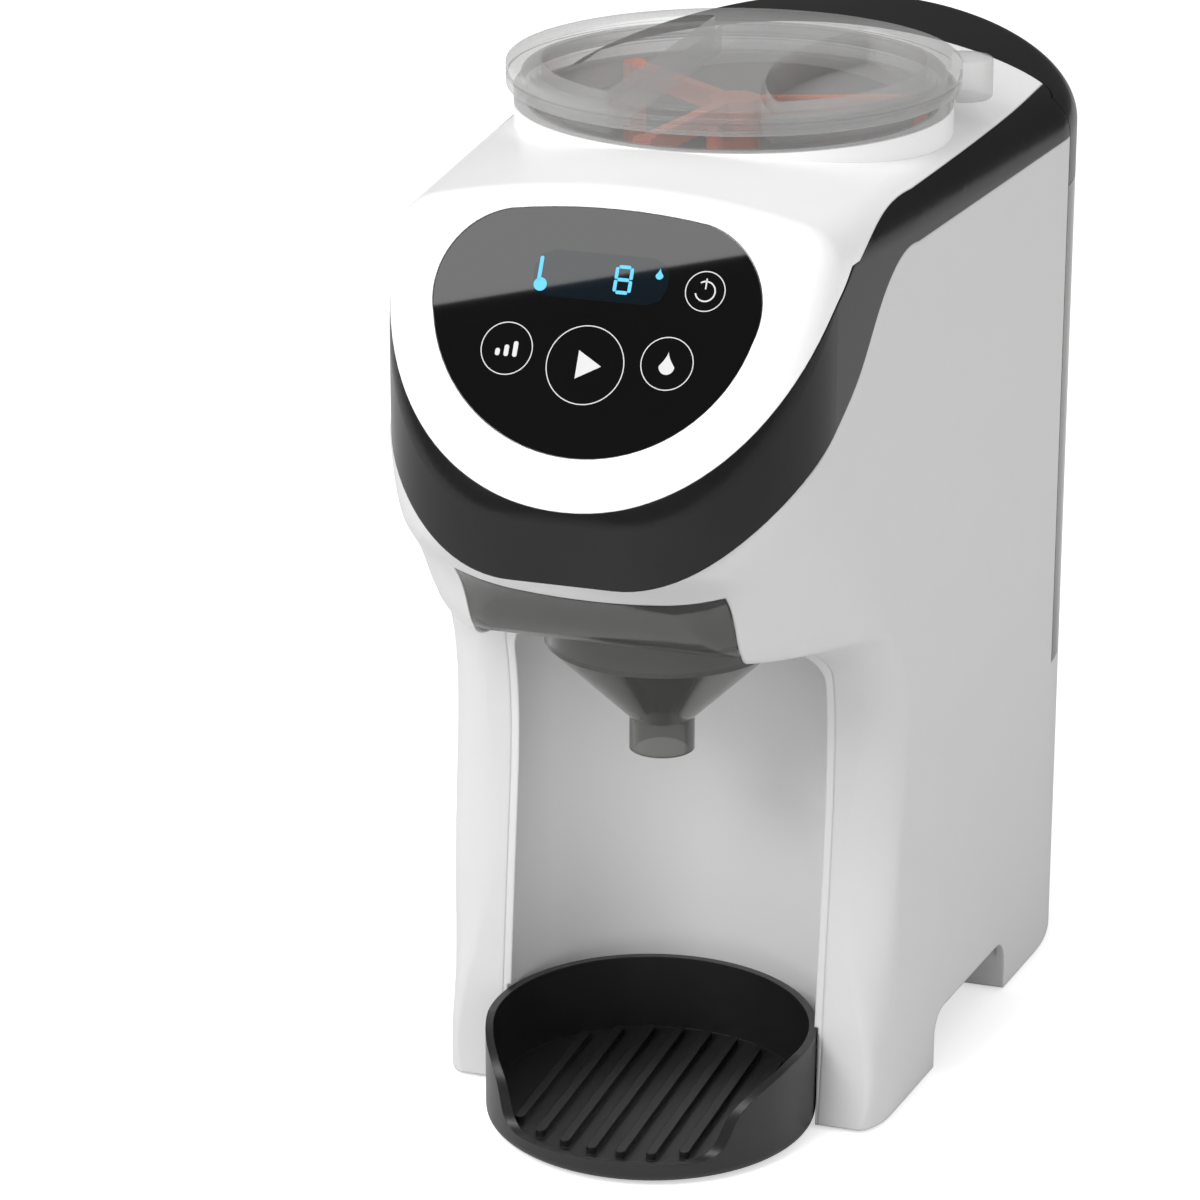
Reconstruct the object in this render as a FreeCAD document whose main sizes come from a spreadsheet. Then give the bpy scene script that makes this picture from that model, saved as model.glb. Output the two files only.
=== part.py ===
import FreeCAD, Part
import math
import os
import re
from types import SimpleNamespace
from FreeCAD import Vector

os.makedirs("parts", exist_ok=True)
doc = FreeCAD.newDocument("FormulaMaker")

# Driving dimensions in millimetres and degrees. Front is -Y, up is +Z, z = 0 is the worktop.
SIZES = dict(
    # outer form
    half_width=84, rear_centre_y=78, flank_taper=5.7, nose_y=-163, nose_radius=50,
    top_z=298, crown_radius=260, wall=2.6, join_gap=0.4,
    face_foot_z=219, face_tilt=29.8, face_round=66, shoulder_radius=14,
    flank_top_z=274, leg_front_y=-76.4, waist_y=-62.6, waist_z=112, arch_height=18.5,
    arch_front_y=-25, arch_rear_y=39, skirt_lift=0.8,
    # filling bay
    bay_half_width=48.5, bay_centre_y=-66, bay_top_z=152, bay_corner=13, bay_wall=2.5,
    # front panel
    panel_half_width=46, panel_low=15.5, panel_high=86, panel_thickness=1.6,
    display_width=41, display_height=15, display_x=6, display_s=60,
    # powder container, lid and drive
    hopper_y=-5, container_radius=61, container_height=60, container_wall=2,
    flange_radius=65.5, flange_height=4.6, lid_radius=67.9, lid_height=8, lid_top_z=311,
    outlet_y=-52, outlet_radius=8, seat_clearance=0.6, seat_gap=0.3,
    shaft_radius=4, bearing_gap=0.05, gear_module=1.5, gear_teeth=40, pinion_teeth=12,
    gear_thickness=7, deck_z=214, deck_thickness=4,
    # funnel
    funnel_y=-71.7, funnel_slope=1.03, nozzle_radius=9.8, nozzle_bore=8, nozzle_z=116.2,
    cone_low_z=126.5, hopper_radius=35, hopper_half_width=39.4, funnel_deck_z=170, funnel_wall=2, window_top_z=185,
    window_bow_radius=139,
    # drip tray
    tray_radius=50.2, tray_clearance=0.5, tray_y=-81, tray_height=29, tray_wall=2.4, tray_lip=6, tray_foot=0.9,
    rib_count=8, rib_pitch=9, rib_height=2.2,
    # water tank
    tank_front_y=78, tank_floor_z=100, tank_top_z=258, tank_wall=2.4, tank_gap=0.5,
    valve_y=121, valve_radius=6, stem_radius=1.5, cage_height=10, spring_wire=0.8, port_radius=8,
    # base and inside
    floor_thickness=2.4, foot_radius=6.5, foot_height=3.2, board_thickness=1.6,
    motor_radius=18, motor_length=42, pump_width=42, pump_depth=36, pump_height=32, pump_x=38, pump_y=28,
    heater_radius=24, heater_height=92, heater_x=-36, heater_y=44, tube_radius=4, tube_bore=2.5,
    spout_x=-6, spout_y=-86, spout_z=176, hose_z=196, gland_radius=5, gland_z=11, boss_radius=5,
    screw_radius=2, screw_head=3.6,
)
sheet = doc.addObject("Spreadsheet::Sheet", "Sizes")
for row, (alias, number) in enumerate(SIZES.items(), start=1):
    sheet.set("A%d" % row, alias)
    sheet.set("B%d" % row, str(number))
    sheet.setAlias("B%d" % row, alias)
doc.recompute()
S = SimpleNamespace(**{alias: float(sheet.get(alias)) for alias in SIZES})

TAPER = math.radians(S.flank_taper)
TILT = math.radians(S.face_tilt)
REACH = 400.0
nodes = []


def bound(text):
    """An expression in which every size name points at the sheet."""
    return re.sub(r"[a-z_]+", lambda w: "Sizes." + w.group() if w.group() in SIZES else w.group(), text)


def bind(item, **expressions):
    for name, text in expressions.items():
        item.setExpression(name, bound(text))


def put(item, x="0", y="0", z="0"):
    for axis, text in zip("xyz", (x, y, z)):
        item.setExpression("Placement.Base." + axis, bound(text))
    return item


def box(name, dx, dy, dz, x="0", y="0", z="0"):
    """A box centred on x, with its front face at y and its underside at z."""
    item = doc.addObject("Part::Box", name)
    bind(item, Length=dx, Width=dy, Height=dz)
    return put(item, "(%s) - (%s) / 2" % (x, dx), y, z)


def rod(name, radius, height, x="0", y="0", z="0"):
    item = doc.addObject("Part::Cylinder", name)
    bind(item, Radius=radius, Height=height)
    return put(item, x, y, z)


def join(name, *items):
    item = doc.addObject("Part::MultiFuse", name)
    item.Shapes = list(items)
    return item


def cut(name, base, *tools):
    item = doc.addObject("Part::Cut", name)
    item.Base = base
    item.Tool = tools[0] if len(tools) == 1 else join(name + "_tools", *tools)
    return item


def shaped(name, shape):
    item = doc.addObject("Part::Feature", name)
    item.Shape = shape
    return item


def node(label, item):
    """A piece that is exported under its label."""
    item.Label = label
    nodes.append(item)
    return item


# Outlines and solids that several pieces share


def line(a, b):
    return Part.LineSegment(a, b).toShape()


def path(points):
    return [line(a, b) for a, b in zip(points, points[1:])]


def side_points(pairs):
    return [Vector(0, y, z) for y, z in pairs]


def side_curve(pairs):
    curve = Part.BSplineCurve()
    curve.interpolate(side_points(pairs))
    return curve.toShape()


def side_slab(edges, half=120.0):
    """A side outline swept across the machine."""
    face = Part.Face(Part.Wire(edges))
    face.translate(Vector(-half, 0, 0))
    return face.extrude(Vector(2 * half, 0, 0))


def block(x0, x1, y0, y1, z0, z1):
    return Part.makeBox(x1 - x0, y1 - y0, z1 - z0, Vector(x0, y0, z0))


def tube(outer, inner, height, at):
    return Part.makeCylinder(outer, height, at).cut(Part.makeCylinder(inner, height, at))


def mirrored(point):
    return Vector(-point.x, point.y, point.z)


def plan_wire(inset, z, half=None, nose_y=None, radius=None):
    """Plan outline: round rear, tapered flanks and a rounded nose."""
    half = S.half_width if half is None else half
    nose_y = S.nose_y if nose_y is None else nose_y
    radius = S.nose_radius if radius is None else radius
    out = Vector(math.cos(TAPER), -math.sin(TAPER), 0)
    rear = Vector(0, S.rear_centre_y, z)
    centre_y = nose_y + radius
    centre_x = (half - radius + (centre_y - S.rear_centre_y) * math.sin(TAPER)) / math.cos(TAPER)
    corner = Vector(centre_x, centre_y, z)
    a = rear + out * (half - inset)
    b = corner + out * (radius - inset)
    c = Vector(centre_x, nose_y + inset, z)
    middle = corner + (out + Vector(0, -1, 0)).normalize() * (radius - inset)
    return Part.Wire([
        Part.Arc(a, rear + Vector(0, half - inset, 0), mirrored(a)).toShape(),
        line(mirrored(a), mirrored(b)),
        Part.Arc(mirrored(b), mirrored(middle), mirrored(c)).toShape(),
        line(mirrored(c), c),
        Part.Arc(c, middle, b).toShape(),
        line(b, a)])


def plan_prism(inset, z0, z1):
    return Part.Face(plan_wire(inset, z0)).extrude(Vector(0, 0, z1 - z0))


def flank_x(y, inset=0.0):
    """Half width of the flank at y."""
    return (S.half_width - inset + (y - S.rear_centre_y) * math.sin(TAPER)) / math.cos(TAPER)


# Side curves: where the trim meets the flank, and where the white cover meets the trim
TRIM_LOW = [(-56, S.flank_top_z), (-73, S.flank_top_z - 2.5), (-87, S.flank_top_z - 13),
            (-100, S.flank_top_z - 27), (-119, S.flank_top_z - 39.5), (-148, S.flank_top_z - 60),
            (S.nose_y, S.face_foot_z - 21), (S.nose_y - 17, S.face_foot_z - 41)]
TRIM_HIGH = [(-50, S.flank_top_z + 13.6), (-80, S.flank_top_z + 12.2), (-102, S.flank_top_z + 6),
             (-119, S.flank_top_z - 4), (-132, S.flank_top_z - 17), (-143, S.flank_top_z - 36),
             (-156, S.flank_top_z - 66)]


def above(curve, lift=0.0):
    """Everything above a side curve, raised by lift."""
    points = [(y, z + lift) for y, z in curve]
    start, end = points[0], points[-1]
    edges = path(side_points([end, (-REACH, end[1]), (-REACH, REACH), (REACH, REACH),
                              (REACH, start[1]), start]))
    return side_slab([side_curve(points)] + edges)


def face_y(z):
    """Where the sloping front face stands at height z."""
    return S.nose_y + (z - S.face_foot_z) * math.tan(TILT)


def turned_up(face):
    low, high, left, right = face.ParameterRange
    return face.normalAt((low + high) / 2, (left + right) / 2).z > 0.3


def shared(edge, faces):
    return sum(any(edge.isSame(other) for other in face.Edges) for face in faces)


def head_solid(inset):
    """The head: crowned top, sloping face, round shoulders; its underside follows the trim."""
    top = S.top_z - inset
    slope = S.nose_y + inset / math.cos(TILT)
    high = top + 20
    rise = math.tan(TILT)
    points = [(-REACH, S.face_foot_z - 60), (REACH, S.face_foot_z - 60), (REACH, high),
              (slope + (high - S.face_foot_z) * rise, high), (slope, S.face_foot_z),
              (slope - 60 * rise, S.face_foot_z - 60)]
    profile = side_slab(path(side_points(points[1:] + points[1:2])))
    axis = Vector(0, -REACH, top - S.crown_radius)
    crown = Part.makeCylinder(S.crown_radius, 2 * REACH, axis, Vector(0, 1, 0))
    crown.rotate(axis, Vector(0, 1, 0), 180)
    head = plan_prism(inset, S.face_foot_z - 50, high).common(profile).common(crown).Solids[0]
    up = [face for face in head.Faces if turned_up(face)]
    rim = [edge for face in up for edge in face.Edges if shared(edge, up) == 1]
    brow = [edge for edge in up[0].Edges if shared(edge, up[1:])]
    return head.makeFillet(S.shoulder_radius - inset, rim + brow)


# Front stations of the body: height, where the flat flank ends and how far its curve runs on,
# then the half width and place of the front and how far its curve runs on
CHIN_Z = S.funnel_deck_z - 2
LEGS = [(-10, S.leg_front_y + 7.5, 5, 57, S.leg_front_y - 1.5, 5),
        (55, S.leg_front_y + 17.5, 5, 57, S.leg_front_y + 8, 5),
        (S.waist_z, S.waist_y + 9, 5, 58, S.waist_y, 5),
        (138, S.waist_y + 6.5, 6, 57, S.waist_y - 2.5, 6),
        (S.bay_top_z, S.waist_y - 1, 7, 50, S.waist_y - 11, 8),
        (160, S.waist_y - 9, 8, 41, S.waist_y - 37, 10),
        (CHIN_Z, S.waist_y - 17, 10, 34, S.nose_y + 37, 12)]
CHEEKS = [LEGS[-1],
          (CHIN_Z + 10, S.waist_y - 23, 13, 27, S.nose_y + 29.5, 23),
          (CHIN_Z + 22, S.waist_y - 31, 16, 20, S.nose_y + 19.5, 33),
          (S.face_foot_z - 16, S.waist_y - 43, 22, 18, S.nose_y + 3, 32),
          (S.face_foot_z - 3, S.waist_y - 52, 26, 16, S.nose_y + 0.5, 29),
          (S.face_foot_z + 13, S.waist_y - 55.5, 27.5, 15.1, S.nose_y, 27.5),
          (S.flank_top_z + 30, S.waist_y - 55.5, 27.5, 15.1, S.nose_y, 27.5)]
NOSE_BACK = -40.0


def nose_section(station, inset):
    """One level outline of the body's front half."""
    z, side_y, side_run, half, front_y, front_run = station
    front_y, side_y = front_y + inset, side_y + inset
    back, side = flank_x(NOSE_BACK, inset), flank_x(side_y, inset)
    slope = Vector(-math.sin(TAPER), -math.cos(TAPER), 0)
    poles = [Vector(side, side_y, z), Vector(side, side_y, z) + slope * side_run,
             Vector(half + front_run - inset / 2, front_y, z), Vector(half, front_y, z)]
    right, left = Part.BezierCurve(), Part.BezierCurve()
    right.setPoles(poles)
    left.setPoles([mirrored(pole) for pole in reversed(poles)])
    start, end = Vector(back, NOSE_BACK, z), Vector(-back, NOSE_BACK, z)
    return Part.Wire([line(end, start), line(start, poles[0]), right.toShape(), line(poles[3], mirrored(poles[3])),
                      left.toShape(), line(mirrored(poles[0]), end)])


def nose_solid(inset):
    """Legs, cheeks and chin ahead of the straight flanks."""
    lower = Part.makeLoft([nose_section(station, inset) for station in LEGS], True, False)
    upper = Part.makeLoft([nose_section(station, inset) for station in CHEEKS], True, False)
    return lower.fuse(upper)


def flank_solid(inset, low, high):
    """The casing below the trim: straight flanks and round rear with the shaped front."""
    rear = plan_prism(inset, low, high).common(block(-REACH, REACH, NOSE_BACK, REACH, low, high))
    return rear.fuse(nose_solid(inset).common(block(-REACH, REACH, -REACH, REACH, low, high)))


def bay_solid(radius, low, high, corner):
    """The filling bay: straight sides, round back, rounded ceiling edge."""
    shape = Part.makeCylinder(radius, high - low, Vector(0, S.bay_centre_y, low))
    shape = shape.fuse(block(-radius, radius, -REACH, S.bay_centre_y, low, high)).removeSplitter()
    rim = [edge for edge in shape.Edges
           if edge.BoundBox.ZMin > high - 0.01 and edge.BoundBox.YMax - edge.BoundBox.YMin > 1]
    return shape.makeFillet(corner, rim)


def window_solid(shrink):
    """The opening in the chin that the funnel's front fills, bowed along its upper edge."""
    half = S.hopper_half_width + 0.6 - shrink
    radius = S.window_bow_radius
    sag = radius - math.sqrt(radius ** 2 - half ** 2)
    top = S.window_top_z - shrink
    low = S.bay_top_z - 30
    corner = Vector(half, -REACH, top + sag)
    edges = [Part.Arc(mirrored(corner), Vector(0, -REACH, top), corner).toShape()]
    edges += path([corner, Vector(half, -REACH, low), Vector(-half, -REACH, low), mirrored(corner)])
    back = S.bay_centre_y + 32 - shrink
    return Part.Face(Part.Wire(edges)).extrude(Vector(0, REACH + back, 0))


bay_outer = bay_solid(S.bay_half_width + S.bay_wall, -1, S.bay_top_z + S.bay_wall, S.bay_corner)
bay_inner = bay_solid(S.bay_half_width, -2, S.bay_top_z, S.bay_corner)
head_outer = head_solid(0).common(above(TRIM_LOW))
head_inner = head_solid(S.wall)
body_outer = flank_solid(0, S.skirt_lift, S.flank_top_z + 29).cut(above(TRIM_LOW))
shelf_z = S.tank_floor_z - S.seat_gap
tank_space = block(-REACH, REACH, S.tank_front_y - S.tank_gap, REACH, shelf_z, REACH)
tray_space = Part.makeCylinder(S.tray_radius + S.tray_clearance, S.tray_height + 3, Vector(0, S.tray_y, -1))
lid_edge_y = S.tank_front_y - S.tank_gap


def lid_front(grow, low=S.tank_top_z - 1):
    """Where the top cover reaches back over the tank lid's line in a flat arc."""
    arc = Part.Ellipse(Vector(0, 0, 0), flank_x(lid_edge_y, 7) + grow, 27 + grow).toShape()
    arc = Part.Face(Part.Wire(arc))
    arc.translate(Vector(0, lid_edge_y, low))
    return arc.extrude(Vector(0, 0, REACH))


# Casing


def arch_solid():
    """The recess under the flanks between the front and rear feet."""
    arch = block(-REACH, REACH, S.arch_front_y, S.arch_rear_y, -5, S.arch_height)
    ends = [edge for edge in arch.Edges
            if edge.BoundBox.ZMin > S.arch_height - 0.1 and edge.BoundBox.YMax - edge.BoundBox.YMin < 1]
    return arch.makeFillet(8, ends)


floor_z = S.arch_height + 0.2
floor_top = floor_z + S.floor_thickness


def boss_places():
    """Where screws come up through the base plate into the flanks."""
    places = []
    for y in (-36, 62):
        x = flank_x(y) - S.wall - S.boss_radius + 1
        places += [(x, y), (-x, y)]
    return places


def ledge_places():
    """Where screws go down through the deck into the flanks' ledges."""
    places = []
    for y in (-20, 62):
        x = flank_x(y) - S.wall - S.boss_radius + 1
        places += [(x, y), (-x, y)]
    return places


def screw_bosses(places, low, high):
    bosses = []
    for x, y in places:
        side = math.copysign(1, x)
        boss = Part.makeCylinder(S.boss_radius, high - low, Vector(x, y, low))
        web = block(min(x, x + side * (S.boss_radius + 1)), max(x, x + side * (S.boss_radius + 1)),
                    y - 2, y + 2, low, high)
        bosses.append(boss.fuse(web).cut(Part.makeCylinder(S.screw_radius, high - low + 2, Vector(x, y, low - 1))))
    return bosses


def make_body_shell():
    ledge = shelf_z - S.wall
    inner = flank_solid(S.wall, -5, S.flank_top_z + 29.5)
    inner = inner.cut(block(-REACH, REACH, S.tank_front_y - S.tank_gap - S.wall, REACH, ledge, REACH))
    shell = body_outer.cut(inner)
    bosses = screw_bosses(boss_places(), floor_top, floor_top + 12)
    bosses += screw_bosses(ledge_places(), S.deck_z - 12, S.deck_z)
    shell = shell.fuse(bosses[0].fuse(bosses[1:]).common(plan_prism(S.wall / 2, 0, REACH)))
    shell = shell.cut(tank_space).cut(bay_outer).cut(window_solid(0)).cut(arch_solid()).cut(tray_space)
    shell = shell.cut(Part.makeCylinder(S.port_radius, 40, Vector(0, S.valve_y, S.tank_floor_z - 20)))
    rear = Vector(0, S.rear_centre_y + S.half_width - 20, S.gland_z)
    shell = shell.cut(Part.makeCylinder(S.gland_radius, 60, rear, Vector(0, 1, 0)))
    half = flank_x(S.arch_rear_y, S.wall / 2)
    return shell.fuse(block(-half, half, S.arch_rear_y, S.arch_rear_y + S.wall, S.skirt_lift, S.arch_height))


node("body_shell", shaped("BodyShell", make_body_shell()))


def make_bay_liner():
    liner = bay_outer.cut(bay_inner).common(body_outer)
    slot = block(-S.hopper_radius - 0.8, S.hopper_radius + 0.8, -REACH,
                 S.bay_centre_y + 32, S.bay_top_z - 3, S.bay_top_z + 5)
    floor = Part.makeCylinder(S.bay_half_width + 1, 2.2, Vector(0, S.bay_centre_y, S.skirt_lift))
    floor = floor.common(block(-60, 60, S.bay_centre_y + 4, 0, 0, 10))
    return liner.cut(slot).cut(tray_space).fuse(floor)


node("bay_liner", shaped("BayLiner", make_bay_liner()))

head_shell = head_outer.cut(head_inner)
head_shell = head_shell.cut(block(-REACH, REACH, lid_edge_y, REACH, 0, REACH).cut(lid_front(0)))
face_round = Part.makeCylinder(S.face_round, 2 * REACH, Vector(0, -REACH, S.face_foot_z + S.face_round),
                               Vector(0, 1, 0))
trim_zone = above(TRIM_HIGH).common(face_round.fuse(
    block(-REACH, REACH, -REACH, REACH, S.flank_top_z + 6, REACH)))
lid_well = Part.makeCylinder(S.container_radius + S.seat_clearance, 80, Vector(0, S.hopper_y, S.top_z - 60))


def on_face(x, s, depth=0.0):
    """A point on the sloping front face: s up the slope, depth into the machine."""
    return Vector(x, S.nose_y + s * math.sin(TILT) + depth * math.cos(TILT),
                  S.face_foot_z + s * math.cos(TILT) - depth * math.sin(TILT))


def face_slab(outline, front, back):
    """A flat outline on the sloping face, from depth front to depth back."""
    turn = FreeCAD.Rotation(Vector(1, 0, 0), 90 - S.face_tilt)
    face = Part.Face(outline)
    face.Placement = FreeCAD.Placement(on_face(0, 0, front), turn)
    inward = on_face(0, 0, back) - on_face(0, 0, front)
    return face.extrude(inward)


def panel_outline(shrink):
    """A shield: nearly flat top, rounded shoulders and a full round foot."""
    half, low, high = S.panel_half_width - shrink, S.panel_low + shrink, S.panel_high - shrink
    waist = low + 0.52 * (high - low)
    left, right = Vector(-half, waist, 0), Vector(half, waist, 0)
    shoulder = 0.62 * half
    brow = Vector(shoulder, high - 2.2, 0)
    bulge = Vector(half - 3.2, high - 12, 0)
    foot = Part.Arc(left, Vector(0, low, 0), right).toShape()
    cheek = Part.Arc(right, bulge, brow).toShape()
    top = Part.Arc(brow, Vector(0, high, 0), mirrored(brow)).toShape()
    other = Part.Arc(mirrored(brow), mirrored(bulge), left).toShape()
    return Part.Wire([foot, cheek, top, other])


panel_seat = face_slab(panel_outline(-0.3), -3, S.panel_thickness)
panel_port = face_slab(panel_outline(5), -3, 12)
collar_high = S.top_z + 0.1
collar = tube(S.flange_radius, S.container_radius, 20, Vector(0, S.hopper_y, collar_high - 20)).cut(head_inner)
cover = head_shell.common(trim_zone).fuse(collar).cut(lid_well).cut(panel_seat).cut(panel_port)
node("top_cover", shaped("TopCover", max(cover.Solids, key=lambda solid: solid.Volume)))
band = head_shell.cut(trim_zone).cut(lid_well).cut(collar)
node("black_trim", shaped("BlackTrim", max(band.Solids, key=lambda solid: solid.Volume)))

# Control panel, display and board
node("panel_glass", shaped("PanelGlass", face_slab(panel_outline(0), 0, S.panel_thickness)))


def face_plate(x, s, width, height, front, back):
    corners = [Vector(x - width / 2, s - height / 2, 0), Vector(x + width / 2, s - height / 2, 0),
               Vector(x + width / 2, s + height / 2, 0), Vector(x - width / 2, s + height / 2, 0)]
    return face_slab(Part.makePolygon(corners + corners[:1]), front, back)


board_front = S.panel_thickness + 5
node("display_module", shaped("DisplayModule", face_plate(
    S.display_x, S.display_s, S.display_width, S.display_height, S.panel_thickness, board_front)))
node("control_board", shaped("ControlBoard", face_plate(
    0, 50, 70, 48, board_front, board_front + S.board_thickness)))

# Powder container, its lid and the stirrer


def turned(points, y=0.0):
    """A solid of revolution about a vertical axis at y; points are radius and height."""
    outline = [Vector(radius, 0, z) for radius, z in points]
    shape = Part.Face(Part.makePolygon(outline + outline[:1])).revolve(Vector(0, 0, 0), Vector(0, 0, 1), 360)
    shape.translate(Vector(0, y, 0))
    return shape


flange_low = collar_high + S.seat_gap
flange_top = flange_low + S.flange_height
container_low = S.top_z - S.container_height
hub_hole = S.shaft_radius + S.bearing_gap


def make_container():
    outer, inner = S.container_radius, S.container_radius - S.container_wall
    cup = turned([(hub_hole, container_low), (outer - 3, container_low), (outer, container_low + 3),
                  (outer, flange_low), (S.flange_radius, flange_low), (S.flange_radius, flange_top),
                  (outer + 1.6, flange_top), (outer + 1.6, flange_top + 4), (outer - 0.4, flange_top + 4),
                  (outer - 0.4, flange_top), (inner, flange_top),
                  (inner, container_low + 3), (inner - 2, container_low + 2), (hub_hole, container_low + 2)],
                 S.hopper_y)
    outlet = Part.makeCylinder(S.outlet_radius, 20, Vector(0, S.outlet_y, container_low - 10))
    return cup.cut(outlet)


node("powder_container", shaped("PowderContainer", make_container()))


def lug_solid(low, high):
    """The locking lug on the lid's rear right."""
    angle = math.radians(35)
    x, y = math.cos(angle), math.sin(angle)
    lug = Part.makeCylinder(9, high - low, Vector(x * (S.lid_radius + 1.5), S.hopper_y + y * (S.lid_radius + 1.5), low))
    return lug


def make_lid():
    low, high = flange_top + S.seat_gap, S.lid_top_z
    rim = S.lid_radius
    dish = S.lid_radius - 10.5
    skirt = S.container_radius + 1.6 + S.seat_clearance
    lid = turned([(0, high - 5.6), (dish, high - 5.6), (dish + 0.6, high), (rim - 1.5, high),
                  (rim, high - 1.5), (rim, high - 5), (rim - 1.2, high - 5.5), (rim - 1.2, low), (skirt, low),
                  (skirt, high - 3), (dish + 2.4, high - 3), (dish + 2, high - 7.4), (0, high - 7.4)], S.hopper_y)
    ridge = block(-4, 4, S.hopper_y - dish - 1.2, S.hopper_y + dish + 1.2, high - 6.4, high - 1)
    ridge = ridge.makeFillet(2.5, [edge for edge in ridge.Edges if edge.BoundBox.ZMin > high - 1.1
                                   and edge.BoundBox.YMax - edge.BoundBox.YMin > 20])
    ridge.rotate(Vector(0, S.hopper_y, 0), Vector(0, 0, 1), 18)
    lug = lug_solid(low, high - 1.5).cut(Part.makeCylinder(skirt + 1, 60, Vector(0, S.hopper_y, low - 5)))
    return lid.fuse(ridge).fuse(lug)


node("container_lid", shaped("ContainerLid", make_lid()))


def make_stirrer():
    floor = container_low + 2 + 0.5
    reach = S.container_radius - S.container_wall - 1.2
    top = S.lid_top_z - 12
    hub = Part.makeCylinder(S.shaft_radius + 4, top - floor, Vector(0, S.hopper_y, floor))
    shaft = Part.makeCylinder(S.shaft_radius, floor - container_low + 6, Vector(0, S.hopper_y, container_low - 6))
    shape = hub.fuse(shaft)
    for turn in range(3):
        arm = block(0, reach, -3, 3, floor, floor + 3.5)
        blade = block(reach - 4, reach, -3, 3, floor, top)
        brace = block(0, reach, -2, 2, top - 6, top)
        arm = arm.fuse(blade).fuse(brace).common(Part.makeCylinder(reach, 100, Vector(0, 0, floor - 1)))
        arm.translate(Vector(0, S.hopper_y, 0))
        arm.rotate(Vector(0, S.hopper_y, 0), Vector(0, 0, 1), 120 * turn + 20)
        shape = shape.fuse(arm)
    return shape


node("stirrer", shaped("Stirrer", make_stirrer()))

# Drive: deck, gear, pinion and motor
deck_top = S.deck_z + S.deck_thickness
gear_low = deck_top + 0.5
gear_centre = S.gear_module * (S.gear_teeth + S.pinion_teeth) / 2
motor_y = S.hopper_y + gear_centre


def gear_solid(teeth, bore, low, height, y, phase=0.0):
    """A spur gear with straight-flanked teeth and running backlash."""
    pitch_radius = S.gear_module * teeth / 2
    step = 2 * math.pi / teeth
    root, tip = pitch_radius - 1.2 * S.gear_module, pitch_radius + 0.85 * S.gear_module
    points = []
    for tooth in range(teeth):
        middle = step * tooth + phase
        for radius, share in ((root, -0.27), (tip, -0.1), (tip, 0.1), (root, 0.27)):
            angle = middle + share * step
            points.append(Vector(radius * math.cos(angle), radius * math.sin(angle) + y, low))
    wheel = Part.Face(Part.makePolygon(points + points[:1])).extrude(Vector(0, 0, height))
    return wheel.cut(Part.makeCylinder(bore, height + 2, Vector(0, y, low - 1))) if bore else wheel


def make_drive_gear():
    gear = gear_solid(int(S.gear_teeth), 0, gear_low, S.gear_thickness, S.hopper_y)
    pin = Part.makeCylinder(S.shaft_radius, S.deck_thickness + 3, Vector(0, S.hopper_y, S.deck_z - 2))
    cup_low = gear_low + S.gear_thickness
    cup = Part.makeCylinder(S.shaft_radius + 4, container_low - 0.6 - cup_low, Vector(0, S.hopper_y, cup_low))
    socket = Part.makeCylinder(S.shaft_radius + 0.35, 40, Vector(0, S.hopper_y, container_low - 6.4))
    return gear.fuse(pin).fuse(cup).cut(socket)


def make_pinion():
    half_tooth = math.pi / S.pinion_teeth
    pinion = gear_solid(int(S.pinion_teeth), 0, gear_low, S.gear_thickness, motor_y, math.pi / 2 + half_tooth)
    stub = Part.makeCylinder(2.5, S.deck_thickness + 4, Vector(0, motor_y, S.deck_z - 3))
    return pinion.fuse(stub)


node("drive_gear", shaped("DriveGear", make_drive_gear()))
node("motor_pinion", shaped("MotorPinion", make_pinion()))
motor = rod("Motor", "motor_radius", "motor_length", y=str(motor_y), z="deck_z - motor_length")
motor_bore = rod("MotorBore", "2.5 + bearing_gap", "6", y=str(motor_y), z="deck_z - 4")
node("gear_motor", cut("GearMotor", motor, motor_bore))


def make_deck():
    """The plate that carries the drive, held between the flanks."""
    low, high = S.deck_z, S.deck_z + S.deck_thickness
    plate = plan_prism(S.wall, low, high).common(block(-REACH, REACH, -88, S.tank_front_y - S.tank_gap - S.wall, low, high))
    holes = [(S.hopper_y, S.shaft_radius + S.bearing_gap), (motor_y, 2.5 + S.bearing_gap), (S.outlet_y, 13)]
    for y, radius in holes:
        plate = plate.cut(Part.makeCylinder(radius, 20, Vector(0, y, low - 8)))
    for x, y in ledge_places():
        plate = plate.cut(Part.makeCylinder(S.screw_radius + 0.2, 20, Vector(x, y, low - 8)))
    boss = tube(9, S.shaft_radius + S.bearing_gap, 2, Vector(0, S.hopper_y, low - 2))
    return plate.fuse(boss)


node("drive_deck", shaped("DriveDeck", make_deck()))


def make_chute():
    """The short drop from the container's outlet to the funnel."""
    low, high = S.funnel_deck_z + 8, container_low - S.seat_clearance
    chute = tube(12.9, S.outlet_radius + 1, high - low, Vector(0, S.outlet_y, low))
    collar = tube(17, 12, 2, Vector(0, S.outlet_y, S.deck_z - 2))
    return chute.fuse(collar).cut(Part.makeCylinder(S.gear_module * S.gear_teeth / 2 + 4, S.gear_thickness + 3,
                                                    Vector(0, S.hopper_y, gear_low - 0.4)))


node("powder_chute", shaped("PowderChute", make_chute()))

# Funnel and its rails


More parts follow.
